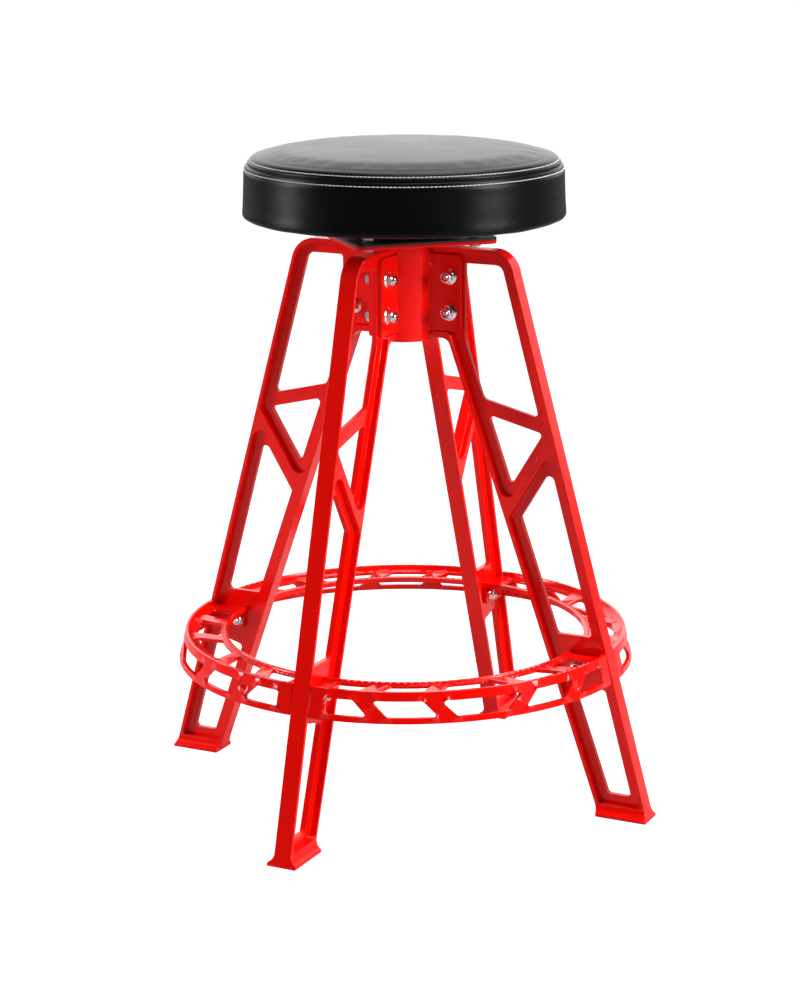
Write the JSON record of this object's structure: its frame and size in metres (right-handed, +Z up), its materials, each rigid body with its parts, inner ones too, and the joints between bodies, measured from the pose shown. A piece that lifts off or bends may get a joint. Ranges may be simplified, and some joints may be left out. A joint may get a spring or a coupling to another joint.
{
  "type": "swivel bar stool",
  "caption": "Swivel stool with a round padded seat on four bolted cast truss legs joined by a windowed foot ring.",
  "frame": {"origin": "on the floor, on the stool's upright axis", "axes": "+Z up; the legs stand on the -Y (front), +X (right), +Y (back) and -X (left) sides"},
  "size_m": [0.6024, 0.6024, 0.7296],
  "materials": {
    "red_paint": "gloss",
    "black_steel": "satin",
    "zinc": "bright plated",
    "brass": "plain",
    "plywood": "unfinished",
    "black_cloth": "non-woven",
    "foam": "open cell",
    "black_vinyl": "grained satin"
  },
  "bodies": {
    "frame": {"hub": "red_paint", "leg_front": "red_paint", "leg_right": "red_paint", "leg_back": "red_paint", "leg_left": "red_paint", "ring_front_right": "red_paint", "ring_back_right": "red_paint", "ring_back_left": "red_paint", "ring_front_left": "red_paint", "leg_bolts": "zinc", "leg_nuts": "zinc", "ring_bolts": "zinc", "ring_nuts": "zinc", "swivel_lower_plate": "black_steel", "swivel_plate_bolts": "zinc", "swivel_plate_nuts": "zinc", "swivel_pivot": "zinc"},
    "ball_ring": {"swivel_balls": "zinc", "ball_retainer": "brass"},
    "seat": {"swivel_upper_plate": "black_steel", "seat_screws": "zinc", "seat_board": "plywood", "seat_dust_cover": "black_cloth", "seat_foam": "foam", "seat_top_panel": "black_vinyl", "seat_side_band": "black_vinyl"}
  },
  "joints": [
    {"name": "seat_swivel", "type": "hinge", "parent": "frame", "child": "seat", "pos_m": [0, 0, 0.64425], "axis": [0, 0, 1], "continuous": true},
    {"name": "ball_ring_turn", "type": "hinge", "parent": "frame", "child": "ball_ring", "pos_m": [0, 0, 0.64425], "axis": [0, 0, 1], "continuous": true}
  ],
  "couplings": [
    {"joint": "ball_ring_turn", "follows": "seat_swivel", "ratio": 0.5}
  ]
}
